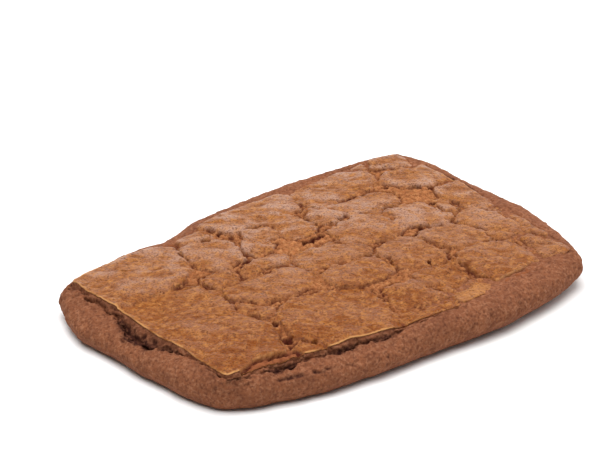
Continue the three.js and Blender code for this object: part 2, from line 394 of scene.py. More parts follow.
@dataclass(frozen=True)
class CrustPlan:
    """The outline of the crust and the cracks in it, seen from above.

    The crust's edge is tight where it stayed baked on to the dough, and loose where it came away.
    """

    length: float = 126.0
    width: float = 79.0
    middle: tuple[float, float] = (0.7, -3.03)
    rim_height: float = 11.1
    dome_rise: float = 1.3
    dome_lumps: Layer = Layer(0.4, 19, 5)
    dent: Spot = Spot(-27, 0, 9.5, 3.6)
    wander: tuple[Layer, Layer] = (Layer(0.4, 5, 3), Layer(0.4, 5, 4))
    fullness: float = 0.55
    corner_round: float = 0.8
    corner_reach: float = 6.0
    corner_sharpness: float = 8.0
    outline_step: float = 1.2
    tight: float = 0.02
    loose: float = 0.65
    loose_change: Layer = Layer(0.4, 11, 82)
    held: Spot = Spot(-60, -27, 11, 0.6)
    full_tear: float = 2.5
    tight_shoulder: float = 0.1
    loose_shoulder: float = 2.3
    torn_shoulder: float = 0.15
    tight_groove: float = 0.12
    loose_groove: float = 0.9
    tight_ledge: float = 0.3
    loose_ledge: float = 0.9
    torn_ledge: float = 0.65
    ragged: tuple[Layer, ...] = (Layer(0.4, 2.9, 91), Layer(0.35, 1.3, 92))
    half_crack: float = 0.5
    crack_change: Layer = Layer(0.65, 11, 31)
    wider_right: float = 0.3
    bend_x: tuple[Layer, ...] = (Layer(1, 6.5, 11), Layer(0.5, 2.6, 12))
    bend_y: tuple[Layer, ...] = (Layer(1, 6.5, 21), Layer(0.5, 2.6, 22))
    edge_zone: float = 0.85
    edge_hold: float = 5.5

    def edge(self, a: Corner, b: Corner, step: float) -> Array:
        """Walks along one edge of the crust.

        Args:
            a: the corner that it starts from.
            b: the corner that it runs to.
            step: distance from point to point.

        Returns:
            For each point its place, how far the side swells there, and how far it tucks in.
        """
        length = math.hypot(b.x - a.x, b.y - a.y)
        count = round(length / step)
        t = np.arange(count) / count
        bow = a.bow * np.sin(math.pi * t ** (math.log(0.5) / math.log(a.peak))) / length
        x = mix(a.x, b.x, t) + bow * (b.y - a.y)
        y = mix(a.y, b.y, t) - bow * (b.x - a.x)
        y = y - self.dent.depth * bell(x - self.dent.x, self.dent.reach) * (y > 0)
        x = x + self.wander[0].over(x, y)
        y = y + self.wander[1].over(x, y)
        swell = mix(mix(a.swell, b.swell, t), a.edge_swell, np.sin(math.pi * t) ** self.fullness)
        swell += sum(bulge.at(x, y) for bulge in BULGES)
        return np.stack([x, y, swell, mix(a.tuck, b.tuck, t)], 1)

    def rim(self, step: float) -> Rim:
        """Walks along the crust's whole outline.

        Args:
            step: distance from point to point.

        Returns:
            The outline's points.
        """
        ring = np.concatenate(
            [self.edge(a, b, step) for a, b in zip(CORNERS, CORNERS[1:] + CORNERS[:1])]
        )
        for _ in range(round(2 * (self.corner_round / step) ** 2)):
            ring = (np.roll(ring, 1, 0) + 2 * ring + np.roll(ring, -1, 0)) / 4
        x, y, swell, tuck = ring.T
        # The side faces the way that the side of a box with rounded corners does.
        shares = x / self.length, y / self.width
        out = np.stack([np.sign(s) * np.abs(s) ** self.corner_sharpness for s in shares], 1)
        out /= np.linalg.norm(out, axis=1)[:, None]
        return Rim(np.stack([x, y], 1), out, swell, tuck, self.tear(x, y))

    def tear(self, x: Array, y: Array) -> Array:
        """How far the dough tore back from under the crust's edge."""
        return sum(tear.at(x, y) for tear in TEARS)

    def gape(self, x: Array, y: Array) -> Array:
        """1 where the dough tore wide open under the crust's edge, and 0 where it didn't."""
        return ramp(self.tear(x, y), 0.1, 0.9)

    def far_side(self, x: Array, y: Array) -> Array:
        """1 along the back and right edges, where the skin is baked on to the shoulder."""
        return ramp(x / self.length + y / self.width, 0, 0.3)

    def looseness(self, x: Array, y: Array) -> Array:
        """How far the crust's edge came away from the dough, from 0, baked on, to 1, free."""
        near = (1 - self.far_side(x, y)) * mix(self.tight, self.loose, ramp(-x, -8, 20))
        near = near * (1 + self.loose_change.over(x + y, x - y))
        held = bell(y - self.held.y, self.held.reach) * ramp(-x, -self.held.x - 6, -self.held.x)
        near = near * (1 - self.held.depth * held)
        return np.clip(np.maximum(near, self.tear(x, y) / self.full_tear), 0, 1)

    def ledge(self, x: Array, y: Array) -> Array:
        """How far outside the crust's edge its torn crumb reaches, to the crevice at the side."""
        loose, tear = self.looseness(x, y), self.tear(x, y)
        ragged = pile(self.ragged, x, y) * (1 + 0.25 * tear)
        reach = self.tight_ledge + (self.loose_ledge + ragged) * loose + self.torn_ledge * tear
        return reach * (1 - 0.6 * self.near_corner(x, y))

    def shoulder(self, x: Array, y: Array) -> Array:
        """The height of the side's upper edge."""
        low = mix(self.tight_shoulder, self.loose_shoulder, self.looseness(x, y))
        return self.rim_height - low - self.torn_shoulder * self.tear(x, y)

    def groove(self, x: Array, y: Array) -> Array:
        """The height of the bottom of the crevice between the crust and the side."""
        deep = mix(self.tight_groove, self.loose_groove, self.looseness(x, y))
        return self.shoulder(x, y) - deep * (1 - 0.7 * self.near_corner(x, y))

    def recess(self, x: Array, y: Array) -> Array:
        """How far inside the crust's outline its front plates end."""
        return sum(shelf.at(x) for shelf in SHELVES) * (y < 0)

    def near_corner(self, x: Array, y: Array) -> Array:
        """1 at the crust's corners, and 0 away from them."""
        return sum(bell(np.hypot(x - c.x, y - c.y), self.corner_reach) for c in CORNERS)

    def dome(self, x: Array, y: Array) -> Array:
        """The height of the crust's face, before the relief of its plates."""
        along = np.maximum(0, 1 - (x / (0.54 * self.length)) ** 2)
        across = np.maximum(0, 1 - (y / (0.57 * self.width)) ** 2)
        return self.rim_height + self.dome_rise * along * across + self.dome_lumps.over(x, y)

    def inside(self, x: Array, y: Array) -> Array:
        """How far each point lies inside the crust's outline, or below 0 outside it."""
        line = self.rim(self.outline_step).xy
        px, py = np.ravel(x), np.ravel(y)
        best = np.full(px.shape, 1e9)
        odd = np.zeros(px.shape, bool)
        for (ax, ay), (bx, by) in zip(line, np.roll(line, -1, 0)):
            dx, dy = bx - ax, by - ay
            t = np.clip(((px - ax) * dx + (py - ay) * dy) / (dx * dx + dy * dy), 0, 1)
            best = np.minimum(best, (px - ax - t * dx) ** 2 + (py - ay - t * dy) ** 2)
            odd ^= ((ay > py) != (by > py)) & (px < ax + (py - ay) * dx / (dy or 1e-9))
        return (np.where(odd, 1, -1) * np.sqrt(best)).reshape(np.shape(x))

    def plates(self, x: Array, y: Array) -> tuple[Array, Array, Array]:
        """Finds the crust's plates.

        Args:
            x: positions along X.
            y: positions along Y.

        Returns:
            How far each point lies from the open crumb that its plate ends at, and from the
            crack to the next plate, both below 0 outside it, and the number of the plate.
        """
        wx, wy = x + pile(self.bend_x, x, y), y + pile(self.bend_y, x, y)
        nearest, second = np.full(x.shape, 1e9), np.full(x.shape, 1e9)
        number = np.zeros(x.shape, int)
        for k, p in enumerate(PLATES):
            t = ((wx - p.x) * p.dx + (wy - p.y) * p.dy) / (p.dx**2 + p.dy**2)
            t = np.clip(t, 0, 1)
            outside = np.hypot(wx - p.x - t * p.dx, wy - p.y - t * p.dy) - p.reach
            closer = outside < nearest
            second = np.where(closer, nearest, np.minimum(second, outside))
            number = np.where(closer, k, number)
            nearest = np.where(closer, outside, nearest)
        edgeward = np.maximum(np.abs(x) / (0.5 * self.length), np.abs(y) / (0.52 * self.width))
        # Plates near the crust's edge grow out to it.
        hold = self.edge_hold * np.clip((edgeward - self.edge_zone) / (1 - self.edge_zone), 0, 1)
        wider = 1 + self.crack_change.over(x, y) + self.wider_right * ramp(x, 10, 40)
        crack = self.half_crack * wider
        return hold - nearest - crack, (second - nearest) / 2 - crack, number


PLAN = CrustPlan()


# ---------------------------------------------------------------- meshes


@dataclass
class Patch:
    """A region of the plan as a fine net of triangles."""

    xy: Array
    faces: Array
    border: Array
    inward: Array


def cut_patch(step: float, region: Callable[[Array, Array], Array]) -> Patch:
    """Cuts a fine net along the line where a region ends.

    Args:
        step: the net's spacing.
        region: gives how far points lie inside the region, or below 0 outside it.

    Returns:
        The net, its directed border edges, and the way into it at each border point.
    """
    xs = np.arange(-0.54 * PLAN.length, 0.54 * PLAN.length, step)
    ys = np.arange(-0.62 * PLAN.width, 0.58 * PLAN.width, step)
    x, y = np.meshgrid(xs, ys, indexing="ij")
    kept = region(x, y) > 0
    quads = [np.s_[:-1, :-1], np.s_[1:, :-1], np.s_[1:, 1:], np.s_[:-1, 1:]]
    cell = np.all([kept[q] for q in quads], axis=0)
    index = np.arange(x.size).reshape(x.shape)
    a, b, c, d = (index[q][cell] for q in quads)
    faces = np.concatenate([np.stack([a, b, c], 1), np.stack([a, c, d], 1)])
    used, faces = np.unique(faces, return_inverse=True)
    faces = faces.reshape(-1, 3)
    xy = np.stack([x.ravel()[used], y.ravel()[used]], 1)
    border = border_edges(faces, len(xy))
    rim = np.unique(border)
    inward = np.zeros_like(xy)
    nudge = 0.1
    for _ in range(3):
        here = region(*xy[rim].T)
        slope = [region(*(xy[rim] + shift).T) - here for shift in ([nudge, 0], [0, nudge])]
        inward[rim] = np.stack(slope, 1) / np.maximum(np.hypot(*slope), 1e-6)[:, None]
        xy[rim] -= np.clip(here, -step, step)[:, None] * inward[rim]
    return Patch(xy, faces, border, inward)


def border_edges(faces: Array, count: int) -> Array:
    """Finds the directed edges that only one of the faces has.

    Args:
        faces: triangles, counterclockwise.
        count: how many points there are.

    Returns:
        Pairs of points.
    """
    edges = np.concatenate([faces[:, [0, 1]], faces[:, [1, 2]], faces[:, [2, 0]]])
    key = edges[:, 0] * count + edges[:, 1]
    back = edges[:, 1] * count + edges[:, 0]
    return edges[~np.isin(key, back)]


def join_rings(first: Array, second: Array) -> Array:
    """Joins two closed rings of equally many points by triangles.

    Args:
        first: the lower ring's points, counterclockwise from above.
        second: the upper ring's points.

    Returns:
        Triangles that face outward.
    """
    a, b = first, np.roll(first, -1)
    c, d = np.roll(second, -1), second
    return np.concatenate([np.stack([a, b, c], 1), np.stack([a, c, d], 1)])


def make_piece(
    name: str, points: Array, faces: Array, marks: dict[str, Array], first: int | None = None
) -> bpy.types.Object:
    """Makes a smooth mesh object.

    Args:
        name: the piece's name.
        points: in millimetres, in the biscuit's own frame.
        faces: triangles.
        marks: a number for each point, by name, for the finish to read.
        first: how many of the faces have the first finish, where the rest have a second one.

    Returns:
        The new object.
    """
    mesh = bpy.data.meshes.new(name)
    mesh.vertices.add(len(points))
    mesh.vertices.foreach_set("co", (points * MM).astype(np.float32).ravel())
    mesh.loops.add(faces.size)
    mesh.loops.foreach_set("vertex_index", faces.astype(np.int32).ravel())
    mesh.polygons.add(len(faces))
    mesh.polygons.foreach_set("loop_start", np.arange(0, faces.size, 3, dtype=np.int32))
    mesh.polygons.foreach_set("use_smooth", np.ones(len(faces), bool))
    finish = (np.arange(len(faces)) >= (first or len(faces))).astype(np.int32)
    mesh.polygons.foreach_set("material_index", finish)
    for mark, values in marks.items():
        layer = mesh.attributes.new(mark, "FLOAT", "POINT")
        layer.data.foreach_set("value", values.astype(np.float32))
    mesh.update()
    mesh.validate()
    piece = bpy.data.objects.new(name, mesh)
    bpy.context.scene.collection.objects.link(piece)
    return piece


# ---------------------------------------------------------------- the biscuit's pieces


@dataclass(frozen=True)
class Slab:
    """The swollen dough: flat base, rounded sides, a shoulder, and the groove under the crust."""

    step: float = 0.42
    base_rows: int = 14
    side_rows: int = 28
    groove_rows: int = 11
    belly_height: float = 2.4
    belly_lift: float = 0.5
    groove_width: float = 0.9
    root: float = 1.2
    base_rings: tuple[float, ...] = (0.97, 0.9, 0.75, 0.5, 0.2)
    base_hollow: float = 0.25
    hidden_top: float = 8.1
    grain: tuple[Layer, ...] = (
        Layer(0.22, 9, 6),
        Layer(0.16, 2.6, 61),
        Layer(0.19, 1.2, 62),
        Layer(0.07, 0.7, 60),
    )
    pore_depth: float = 0.3
    hole_count: int = 200
    hole_reach: float = 0.3
    hole_spread: float = 0.35
    hole_depth: float = 0.6
    hole_squash: float = 1.6
    gash_width: float = 0.45
    gape_widening: float = 0.35
    tear_widening: float = 0.2
    tight_gash: float = 0.1
    loose_gash: float = 0.25
    gaping_gash: float = 1.0
    torn_height: float = 0.6
    gash_shade: float = 1.2
    crack_width: float = 0.4
    crack_depth: float = 0.5
    crack_height: float = 9.6
    crack_drop: float = 2.4
    crack_wander: tuple[Layer, ...] = (Layer(0.5, 7, 93), Layer(0.3, 2, 94))
    crack_reach: Stretch = Stretch(-62, -58, -34, -26)

    def profile(self, rim: Rim) -> tuple[Array, Array]:
        """Draws the side's profile at every point of the rim, from the base up.

        Args:
            rim: the crust's outline.

        Returns:
            How far out of the rim the side lies, and its height, by row and rim point.
        """
        belly = self.belly_height + self.belly_lift * rim.tuck
        top, floor = PLAN.shoulder(*rim.xy.T), PLAN.groove(*rim.xy.T)
        crest = PLAN.ledge(*rim.xy.T) + self.groove_width
        reach, height = [], []
        for turn in np.radians(np.linspace(-90, 0, self.base_rows + 1)[:-1]):
            reach.append(rim.swell - rim.tuck * (1 - math.cos(turn)) ** 0.8)
            height.append(belly * (1 + math.sin(turn)))
        for t in np.linspace(0, 1, self.side_rows):
            turn = t * np.arccos(np.clip(crest / rim.swell, 0, 0.9))
            reach.append(rim.swell * np.cos(turn))
            height.append(mix(belly, top, np.sin(turn)))
        outer = reach[-1]
        for t in np.linspace(0, 1, self.groove_rows + 1)[1:]:
            reach.append(mix(outer, -self.root, t))
            height.append(mix(top, floor, ramp(outer - reach[-1], 0, self.groove_width)))
        return np.array(reach), np.array(height)

    def surface(self, rim: Rim) -> tuple[Array, Array]:
        """Works out the side with all its relief.

        Args:
            rim: the crust's outline.

        Returns:
            The side's points, by row and rim point, and how much painted shade each gets in its
            pores, holes, crevice and crack, from 0 to 1.
        """
        reach, height = self.profile(rim)
        xy = rim.xy + reach[..., None] * rim.out
        grid = np.concatenate([xy, height[..., None]], 2)
        along = np.roll(grid, -1, 1) - np.roll(grid, 1, 1)
        normal = np.cross(along, np.gradient(grid, axis=0))
        normal /= np.linalg.norm(normal, axis=2)[..., None]
        out, painted_shade = (v.reshape(reach.shape) for v in self.relief(grid.reshape(-1, 3)))
        gash, dark = self.gash(grid, reach, rim)
        crack = self.crack(grid, reach)
        # The relief dies away at the base, which is flat.
        share = ramp(np.arange(float(len(reach)))[:, None], -1, self.base_rows)
        points = grid + ((out - gash - self.crack_depth * crack) * share)[..., None] * normal
        points[..., 2] = np.maximum(points[..., 2], 0)
        points[0, :, 2] = 0
        # Painted shade: pores, holes, the crevice and the crack are darkened in colour where shade
        # falls.
        return points, np.clip(painted_shade + self.gash_shade * dark + self.gash_shade * crack, 0, 1)

    def build(self) -> bpy.types.Object:
        """Makes the slab's closed mesh."""
        side, painted_shade = self.surface(PLAN.rim(self.step))
        rows, columns = painted_shade.shape
        index = np.arange(rows * columns).reshape(rows, columns)
        faces = [join_rings(index[k], index[k + 1]) for k in range(rows - 1)]
        points, count, ring = [side.reshape(-1, 3)], rows * columns, index[0]
        for share in self.base_rings:
            inner = side[0] * [share, share, 0]
            lumps = 1 + noise(inner[:, 0], inner[:, 1], 6, 71)
            inner[:, 2] = self.base_hollow * ramp(np.float64(1 - share), 0.02, 0.2) * lumps
            points.append(inner)
            new = np.arange(count, count + columns)
            faces.append(join_rings(new, ring))
            ring, count = new, count + columns
        points.append(np.array([[0, 0, self.base_hollow + 0.05], [0, 0, self.hidden_top]]))
        faces.append(np.stack([np.roll(ring, -1), ring, np.full(columns, count)], 1))
        last = index[-1]
        faces.append(np.stack([last, np.roll(last, -1), np.full(columns, count + 1)], 1))
        points = np.concatenate(points)
        # The painted shade goes to the finish as a mark on each point; the base has none.
        marks = {"painted_shade": np.append(painted_shade.ravel(), np.zeros(len(points) - painted_shade.size))}
        return make_piece("slab", points, np.concatenate(faces), marks)

    def gash(self, grid: Array, reach: Array, rim: Rim) -> tuple[Array, Array]:
        """The crevice between the crust's torn crumb and the side that peeled off it.

        Args:
            grid: the side's points, by row and rim point.
            reach: how far out of the rim each lies.
            rim: the crust's outline.

        Returns:
            How deep the crevice is at each point, and how much painted shade lies in it and in the
            dents of the torn crumb, from 0 to 1.
        """
        x, y = rim.xy.T
        loose, gape = PLAN.looseness(x, y), PLAN.gape(x, y)
        across = reach - PLAN.ledge(x, y)
        upper = ramp(grid[..., 2], 5, 7)
        lumps = crumbs(grid)
        width = self.gash_width + self.gape_widening * gape + self.tear_widening * rim.tear
        deep = bell(across, width) * pockets(grid, lumps, gape) * upper
        drawn = ramp(noise(x, y, 9, 96), -0.5, 0.3)
        rough = bell(across - 0.9, 1.3) * lumps * mix(0.3, 1, loose) * upper
        # Painted shade in the crevice, deepest where the crust came loose and the dough gapes.
        dark = mix(0.15 * drawn, mix(0.6, 1.2, gape), ramp(loose, 0, 0.5))
        depth = mix(self.tight_gash, mix(self.loose_gash, self.gaping_gash, gape), loose)
        shade = deep * dark + self.torn_height * np.maximum(0, rough)
        return deep * depth + self.torn_height * rough, shade

    def crack(self, grid: Array, reach: Array) -> Array:
        """The long fine crack that runs from the near corner along the front side.

        Args:
            grid: the side's points, by row and rim point.
            reach: how far out of the rim each lies.

        Returns:
            How open the crack is at each point, from 0 to 1, which also sets its painted shade.
        """
        x, y, z = np.moveaxis(grid, 2, 0)
        way = self.crack_height - self.crack_drop * ramp(x, -60, -48)
        way = way + pile(self.crack_wander, x, y)
        broken = ramp(noise_in_space(grid, 2.6, 95), -0.5, 0.3)
        line = bell(z - way, self.crack_width) * broken * self.crack_reach.at(x)
        return line * (y < -30) * (reach > 1)

    def relief(self, p: Array) -> tuple[Array, Array]:
        """The fine open grain of the baked sides.

        Args:
            p: points of the side.

        Returns:
            How far each point moves out, and how much painted shade it gets in pores and holes,
            from 0 to 1.
        """
        out = sum(layer.within(p) for layer in self.grain)
        pores = np.maximum(0, -0.35 - noise_in_space(p, 0.9, 63)) / 0.65
        sunk, dark = self.holes(p)
        return out - self.pore_depth * pores - sunk, np.clip(0.45 * pores + 0.5 * dark, 0, 1)

    def holes(self, p: Array) -> tuple[Array, Array]:
        """Scatters small round holes over the side.

        Args:
            p: points of the side.

        Returns:
            How deep in a hole each point lies, in millimetres, and as a share from 0 to 1 that is
            painted as shade.
        """
        around = np.arctan2(p[:, 1] / PLAN.width, p[:, 0] / PLAN.length)
        depth, share = np.zeros(len(p)), np.zeros(len(p))
        for k in range(self.hole_count):
            turn, level, size = (float(lattice(np.float64(k), np.float64(n), 64)) for n in range(3))
            apart = np.abs(np.angle(np.exp(1j * (around - 2 * math.pi * turn))))
            rows = np.flatnonzero(apart < 0.05)
            middle = p[rows[int(level * (len(rows) - 1))]]
            reach = self.hole_reach + self.hole_spread * size**4
            close = rows[np.abs(p[rows] - middle).max(1) < 2 * reach]
            away = np.linalg.norm((p[close] - middle) * [1, 1, self.hole_squash], axis=1)
            sunk = bell(away, reach)
            depth[close] += self.hole_depth * reach * sunk
            share[close] = np.maximum(share[close], sunk)
        return depth, share


@dataclass(frozen=True)
class Face:
    """The biscuit's face: dry skin cracked into domed plates, with open crumb between them."""

    step: float = 0.37
    wall_rows: int = 13
    foot: float = 5.0
    lip_thickness: float = 0.3
    undercut: float = 0.1
    grown: float = 1.6
    chip: float = 3.2
    chip_depth: float = 1.5
    chip_bend: tuple[Layer, Layer] = (Layer(0.5, 1.6, 36), Layer(0.5, 1.6, 37))
    chip_grit: tuple[Layer, ...] = (Layer(0.35, 1.3, 34), Layer(0.2, 0.7, 35))
    pit_bite: float = 1.6
    healed: Spot = Spot(-52, 9, 9, 1.8)
    puff: float = 0.42
    puff_reach: float = 1.1
    sink: float = 0.3
    lift: float = 0.3
    lean: float = 0.7
    swell: tuple[Layer, ...] = (Layer(0.3, 8, 54), Layer(0.14, 4, 55))
    crease_way: tuple[float, float] = (0.78, 0.62)
    crease_stretch: float = 2.2
    crease_bend: tuple[Layer, Layer] = (Layer(1.2, 4.4, 56), Layer(1.6, 4.4, 57))
    creases: tuple[Layer, ...] = (Layer(0.12, 1.9, 52), Layer(0.05, 0.95, 53))
    wrinkle: float = 0.14
    skin_grit: Layer = Layer(0.06, 0.75, 58)
    crumb_depth: float = 0.75
    flake: float = 2.4
    flake_height: float = 0.45
    flake_bend: tuple[Layer, Layer] = (Layer(0.7, 1.9, 75), Layer(0.7, 1.9, 76))
    grit: float = 1.1
    grit_height: float = 0.32
    crumb_lumps: tuple[Layer, ...] = (Layer(0.12, 0.7, 45), Layer(0.15, 4, 46))
    crevice_width: float = 0.41
    crevice_depth: float = 0.75
    torn_out: float = 0.7
    torn_up: float = 0.8
    pit_edges: tuple[Layer, ...] = (Layer(0.8, 1.5, 79), Layer(0.5, 0.75, 84))
    tone_patches: Layer = Layer(12, 17, 86)

    def plate_edges(self, x: Array, y: Array) -> tuple[Array, Array, Array]:
        """Crumbles the edges of the plates.

        Args:
            x: positions along X.
            y: positions along Y.

        Returns:
            How far each point lies inside its plate, how far inside the line at the biscuit's
            edge that no plate goes past, and the plate's number.
        """
        own, seam, number = PLAN.plates(x, y)
        bent_x, bent_y = x + self.chip_bend[0].over(x, y), y + self.chip_bend[1].over(x, y)
        _, _, chance = cells(bent_x, bent_y, self.chip, 38)
        crumbled = self.chip_depth * (chance - 0.5) + pile(self.chip_grit, x, y)
        for pit in PITS:
            crumbled -= self.pit_bite * bell(pit.away(x, y), 1.4 * pit.reach)
        # The crack between the two large plates of the left end is nearly closed.
        there = ramp(-x, -self.healed.x - 8, -self.healed.x)
        healed = self.healed.depth * there * bell(y - self.healed.y, self.healed.reach)
        inset = np.minimum(own + self.grown, seam + 0.2 + healed) + crumbled * (1 - 0.4 * healed)
        recess = PLAN.recess(x, y)
        brink = PLAN.inside(x, y) - recess + 0.4 * noise(x, y, 2.1, 97) * ramp(recess, 0, 0.3)
        return np.where(recess > 0.3, np.minimum(inset, brink), inset), brink, number

    def plate_relief(
        self, x: Array, y: Array, inset: Array, number: Array
    ) -> tuple[Array, Array, Array]:
        """The plates' own relief: each is tilted, domed, and creased like crepe.

        Args:
            x: positions along X.
            y: positions along Y.
            inset: how far each point lies inside its plate.
            number: which plate each point is on.

        Returns:
            Heights over the dome, how high on a crease each point lies, where painted sheen goes,
            and how deep between two creases, where painted shade goes, both from 0 to 1.
        """
        lift, lean_x, lean_y = (
            most * (lattice(number, np.float64(k), 51) - 0.5)
            for k, most in ((1, self.lift), (2, self.lean), (3, self.lean))
        )
        middles = np.array([[p.x + p.dx / 2, p.y + p.dy / 2, p.reach + 2] for p in PLATES])
        middle_x, middle_y, reach = middles[number].T
        tilt = (lean_x * (x - middle_x) + lean_y * (y - middle_y)) / reach
        puffed = self.puff * (1 - np.exp(-np.maximum(inset, 0) / self.puff_reach)) - self.sink
        c, s = self.crease_way
        along = (c * x - s * y) / self.crease_stretch + self.crease_bend[0].over(x, y)
        across = s * x + c * y + self.crease_bend[1].over(x, y)
        wrinkle = self.wrinkle * ramp(-np.abs(noise(along, across, 2.6, 59)), -0.5, 0)
        crepe = pile(self.creases, along, across) + wrinkle + self.skin_grit.over(x, y)
        swell = pile(self.swell, x, y)
        height = lift + tilt + puffed + crepe + swell
        return height, ramp(crepe + 0.5 * swell, -0.12, 0.14), ramp(-crepe, 0, 0.15)

    def crumb_relief(self, x: Array, y: Array) -> tuple[Array, Array]:
        """The crumb between the plates: broken flakes with gaps between them.

        Args:
            x: positions along X.
            y: positions along Y.

        Returns:
            Heights over the dome, and how deep in a gap each point lies, from 0 to 1, which is
            painted as shade.
        """
        bent_x, bent_y = x + self.flake_bend[0].over(x, y), y + self.flake_bend[1].over(x, y)
        _, inset, chance = cells(bent_x, bent_y, self.flake, 42)
        flake = ramp(inset, 0, 0.5)
        near, _, _ = cells(x, y, self.grit, 44)
        grit = 1 - np.clip(near / 0.8, 0, 1) ** 2
        height = flake * (0.1 + self.flake_height * chance) - self.crumb_depth
        height += self.grit_height * (grit - 0.5) + pile(self.crumb_lumps, x, y)
        return height, 0.65 * (1 - flake) * (1 - 0.6 * grit)

    def crevice(self, x: Array, y: Array, inset: Array, shelf: Array) -> Array:
        """The broken line of holes under the plates' edges, with painted shade in it.

        Args:
            x: positions along X.
            y: positions along Y.
            inset: how far each point lies inside its plate.
            shelf: 1 where the plates end at a shelf of bare dough, and 0 elsewhere.

        Returns:
            How deep in the crevice each point lies, from 0 to 1, which also sets its painted shade.
        """
        drawn = ramp(noise(x, y, 4.5, 74), -1.0, -0.1)
        dotted = np.maximum(ramp(noise(x, y, 1.2, 81), -0.9, 0.1), 0.8 * shelf)
        return bell(inset + 0.3, self.crevice_width) * drawn * dotted

    def pits(self, x: Array, y: Array, inset: Array) -> Array:
        """How deep the pits in the crumb go, which end where the plates begin."""
        ragged = pile(self.pit_edges, x, y)
        depth = np.zeros_like(x)
        for pit in PITS:
            away = np.maximum(pit.away(x, y) + ragged, 0)
            depth = np.maximum(depth, pit.depth * bell(away, 0.6 * pit.reach))
        return depth * ramp(-inset, -0.9, 0.2)

    def amber_and_sheen(self, x: Array, y: Array, high: Array) -> dict[str, Array]:
        """Paints the fall of sheen from back to front: amber and darker to the near corner, paler
        to the back.

        Args:
            x: positions along X.
            y: positions along Y.
            high: how high on a crease each point lies, from 0 to 1.

        Returns:
            The marks for the amber and for the pale film with painted sheen on the creases.
        """
        patches = self.tone_patches.over(x, y)
        # Painted sheen: the pale film and the amber's fall from front to back stand in for light
        # glancing off the skin from behind.
        baked = ramp(-y - 0.45 * x + patches, -30, 62)
        sheen_to_back = mix(0.42, 1.0, ramp(y + 0.3 * x - patches, -15, 36)) * (1 - 0.72 * baked)
        return {"baked": baked, "film_and_sheen": high * sheen_to_back}

    def relief(self, x: Array, y: Array) -> tuple[Array, dict[str, Array]]:
        """Works out the face's whole relief.

        Args:
            x: positions along X.
            y: positions along Y.

        Returns:
            Heights above the base, and the marks that the finish reads.
        """
        edge, loose = PLAN.inside(x, y), PLAN.looseness(x, y)
        inset, brink, number = self.plate_edges(x, y)
        crust, high, folds = self.plate_relief(x, y, inset, number)
        crumb, gaps = self.crumb_relief(x, y)
        shelf = ramp(PLAN.recess(x, y), 0.3, 1.2)
        crevice, sunk = self.crevice(x, y, inset, shelf), self.pits(x, y, inset)

        # In soft places the plates melt into the crumb. At a shelf they end in a firmer brim.
        soft = ramp(noise(x, y, 13, 70), 0.2, 0.7) * (1 - shelf)
        cover = ramp(inset, -0.2, mix(mix(0.15, 0.3, shelf), 0.9, soft))
        brim = shelf * bell(brink, 1.5)
        crust += 0.3 * self.puff * brim * np.exp(-np.maximum(inset, 0) / self.puff_reach)
        height = mix(crumb, crust, cover) - self.crevice_depth * crevice - sunk
        height += mix(-0.3, 0.1, loose) * bell(edge, 1.1)

        folds = 0.45 * folds * ramp(noise(x, y, 6, 85), -0.3, 0.5)
        bared = mix(ramp(loose, 0.1, 0.6), 0.45, shelf) * ramp(noise(x, y, 3, 83), -0.8, 0.4)
        pale = np.array([p.pale for p in PLATES])[number]
        marks = {
            "crust": cover,
            # Painted shade: gaps in the crumb, folds between creases, crevices and pits are
            # darkened.
            "painted_shade": np.clip(mix(gaps, folds, cover) + crevice + 1.6 * np.minimum(sunk, 1), 0, 1),
            # Painted highlight: a pale golden line along loose edges and at a shelf's brim, where
            # the thin edge catches light.
            "lip_highlight": bell(mix(brink, inset - 0.4, brim), 0.3) * bared,
            "rim": (1 - cover) * ramp(-edge, -4.5, -2),
            "pale": pale * ramp(inset + 0.5 * noise(x, y, 1.6, 98), 0.2, 2.2),
        }
        return PLAN.dome(x, y) + height, marks | self.amber_and_sheen(x, y, high)

    def wall(self, rim: Array, inward: Array) -> list[tuple[Array, Array, float]]:
        """The edge of the face: a thin lip, and the torn crumb that slopes from it to the side.

        Args:
            rim: the points of the face's edge.
            inward: the way into the face at each.

        Returns:
            For each row from the lip down, its points, how much painted shade each gets in pockets,
            on torn crumb and under a loose lip, from 0 to 1, and how much of the row is still skin.
        """
        x, y, top = rim.T
        loose, ledge, gape = PLAN.looseness(x, y), PLAN.ledge(x, y), PLAN.gape(x, y)
        start, level = -self.undercut * loose, top - self.lip_thickness - 0.15
        foot = PLAN.groove(x, y) - 0.2
        steps = np.linspace(0, 1, self.wall_rows)
        rows = [(0, 0.06 + 0 * x, top - 0.5 * self.lip_thickness, 1.0)]
        rows += [(0, 0 * x, top - self.lip_thickness, 1.0)]
        rows += [(t, mix(start, ledge, t), mix(level, foot, t), 0.0) for t in steps]
        result = []
        for t, reach, height, skin in rows:
            wall = np.column_stack([rim[:, :2] - inward * reach[:, None], height])
            lumps, down = crumbs(wall), np.float64(t)
            low = ramp(down + 0 * x, 0.62 - 0.35 * gape, 0.92 - 0.15 * gape)
            pocket = pockets(wall, lumps, gape) * low * mix(0.15, 1, ramp(loose, 0, 0.5))
            torn = ramp(-lumps, -0.1, 0.7) * ramp(down, 0.1, 0.4) * loose
            rough = (0.7 * lumps - 0.4 * pocket) * ramp(down, 0, 0.4) * mix(0.4, 1, loose)
            wall[:, :2] -= self.torn_out * rough[:, None] * inward
            wall[:, 2] += self.torn_up * rough
            # Painted shade under a loose lip, on torn crumb and in its pockets.
            shade = (0.06 + 0.3 * gape) * loose + (0.2 + 0.4 * gape) * torn
            dark = np.maximum(pocket * mix(0.55, 1, gape), shade)
            result.append((wall, dark * (1 - skin), skin))
        # Below the crumb the wall turns inward and down, out of sight in the slab.
        for t in (0.4, 1):
            wall = rim.copy()
            wall[:, :2] += inward * mix(-ledge, 1.5, t)[:, None]
            wall[:, 2] = mix(foot - 0.3, self.foot, t)
            result.append((wall, np.full(len(rim), 0.9), 0.0))
        return result

